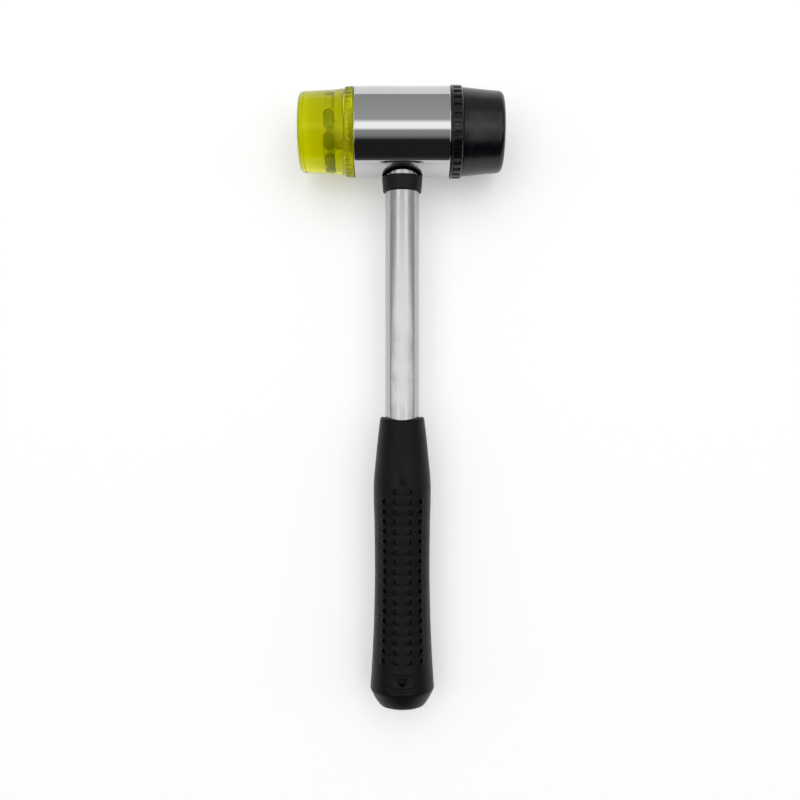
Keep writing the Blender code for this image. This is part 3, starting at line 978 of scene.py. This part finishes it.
def add_floor(height):
    """A plain pale card with a faint even glow, like a light table."""
    material = bpy.data.materials.new("floor_card")
    material.use_nodes = True
    shader = material.node_tree.nodes["Principled BSDF"]
    shader.inputs["Base Color"].default_value = (0.8, 0.8, 0.8, 1)
    shader.inputs["Roughness"].default_value = 0.9
    shader.inputs["Emission Color"].default_value = (1, 1, 1, 1)
    shader.inputs["Emission Strength"].default_value = 0.3
    mesh = bpy.data.meshes.new("floor")
    reach = 3.0
    corners = [(reach * x, reach * y, height) for x, y in ((-1, -1), (1, -1), (1, 1), (-1, 1))]
    mesh.from_pydata(corners, [], [(0, 1, 2, 3)])
    mesh.materials.append(material)
    floor = bpy.data.objects.new("floor", mesh)
    bpy.context.scene.collection.objects.link(floor)


# A plain studio, from the handle's side (-90 degrees) over the top to the head's side (90): one soft panel
# overhead, pale walls, and a dark side beyond the handle. Degrees from overhead, light.
STUDIO = (
    (-90, 0.1), (-80, 0.02), (-35, 0.02), (-25, 0.3), (-12, 0.4), (-6, 1.5), (6, 1.5), (15, 0.5), (90, 0.4),
)
# A soft box to each side: degrees sideways (from, to), degrees from overhead (from, to), light.
SOFT_BOX = ((15, 35), (-40, 40), 1.5)


def add_world():
    """The studio round the tool. Behind the floor's edge the camera sees plain white."""
    world = bpy.data.worlds.new("studio")
    bpy.context.scene.world = world
    world.use_nodes = True
    nodes = Nodes(world.node_tree)
    direction = nodes.add("SeparateXYZ", nodes.add("TexCoord").outputs["Generated"])
    x, y, z = direction.outputs
    across = nodes.math("DEGREES", nodes.math("ARCTAN2", y, z))
    sideways = nodes.math("ABSOLUTE", nodes.math("DEGREES", nodes.math("ARCSINE", x)))
    ramp = nodes.add("ValToRGB", nodes.add("MapRange", across, -90.0, 90.0).outputs[0])
    stops = ramp.color_ramp.elements
    for i, (angle, light) in enumerate(STUDIO):
        place = (angle + 90) / 180
        if i >= 2:
            stops.new(place)
        stops[i].position = place
        stops[i].color = (light, light, light, 1)
    colour = ramp.outputs["Color"]
    (near, far), (low, high), light = SOFT_BOX
    mask = nodes.math("MULTIPLY", nodes.within(sideways, near, far, 3), nodes.within(across, low, high, 3))
    mix = nodes.add("Mix", data_type="RGBA")
    world.node_tree.links.new(mask, mix.inputs["Factor"])
    world.node_tree.links.new(colour, mix.inputs[6])
    mix.inputs[7].default_value = (light, light, light, 1)
    colour = mix.outputs[2]
    seen = nodes.add("LightPath").outputs["Is Camera Ray"]
    plain = nodes.add("Mix", data_type="RGBA")
    world.node_tree.links.new(seen, plain.inputs["Factor"])
    world.node_tree.links.new(colour, plain.inputs[6])
    plain.inputs[7].default_value = (1, 1, 1, 1)
    world.node_tree.links.new(plain.outputs[2], world.node_tree.nodes["Background"].inputs["Color"])


def add_soft_light(name, across, distance, size, power):
    """A square light, this many degrees from overhead towards the head. It doesn't show in the chrome."""
    light = bpy.data.lights.new(name, "AREA")
    light.size = size
    light.energy = power
    obj = bpy.data.objects.new(name, light)
    bpy.context.scene.collection.objects.link(obj)
    direction = Vector((0, math.sin(math.radians(across)), math.cos(math.radians(across))))
    obj.location = HEAD + direction * distance
    obj.rotation_mode = "QUATERNION"
    obj.rotation_quaternion = direction.to_track_quat("Z", "Y")
    obj.visible_glossy = False


CAMERA_AT = Vector((-0.0010, -0.1204, 0.4185))


def add_camera():
    """The camera looks straight down on the handle's plane."""
    camera = bpy.data.cameras.new("camera")
    camera.sensor_width = 36
    camera.lens = 41.85
    camera.clip_start = 0.01
    obj = bpy.data.objects.new("camera", camera)
    bpy.context.scene.collection.objects.link(obj)
    obj.matrix_world = TOOL @ Matrix.Translation(CAMERA_AT)
    bpy.context.scene.camera = obj


bpy.context.scene.view_settings.view_transform = "Standard"
add_world()
add_camera()
add_soft_light("ceiling_light", 25, 1.5, 1.2, 6)

add_barrel()
add_plug("hard_side_plug", HARD_SIDE, "hard_side_end_plug")
add_plug("rubber_side_plug", RUBBER_SIDE, "rubber_side_end_plug")
add_washer("hard_washer_ring", HARD_SIDE, "hard_washer", "hard_tip_washer")
add_washer("rubber_washer_ring", RUBBER_SIDE, "rubber_washer", "rubber_tip_washer")
add_insert("hard_insert_stud", HARD_SIDE, "hard_face", "hard_tip_insert")
add_insert("rubber_insert_stud", RUBBER_SIDE, "rubber_face", "rubber_tip_insert")
add_lugs("hard_insert_lug", HARD_SIDE, "hard_face")
add_hard_tip()
add_rubber_tip()
add_tube()
add_collar()
add_grip()
for facing, side in ((1, "front"), (-1, "back")):
    add_grip_bar(f"grip_bar_{side}_1", 0.2408, 0.0059, facing)
    add_grip_bar(f"grip_bar_{side}_2", 0.2465, 0.0072, facing)
add_inside()

low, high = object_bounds()
add_floor(low.z)
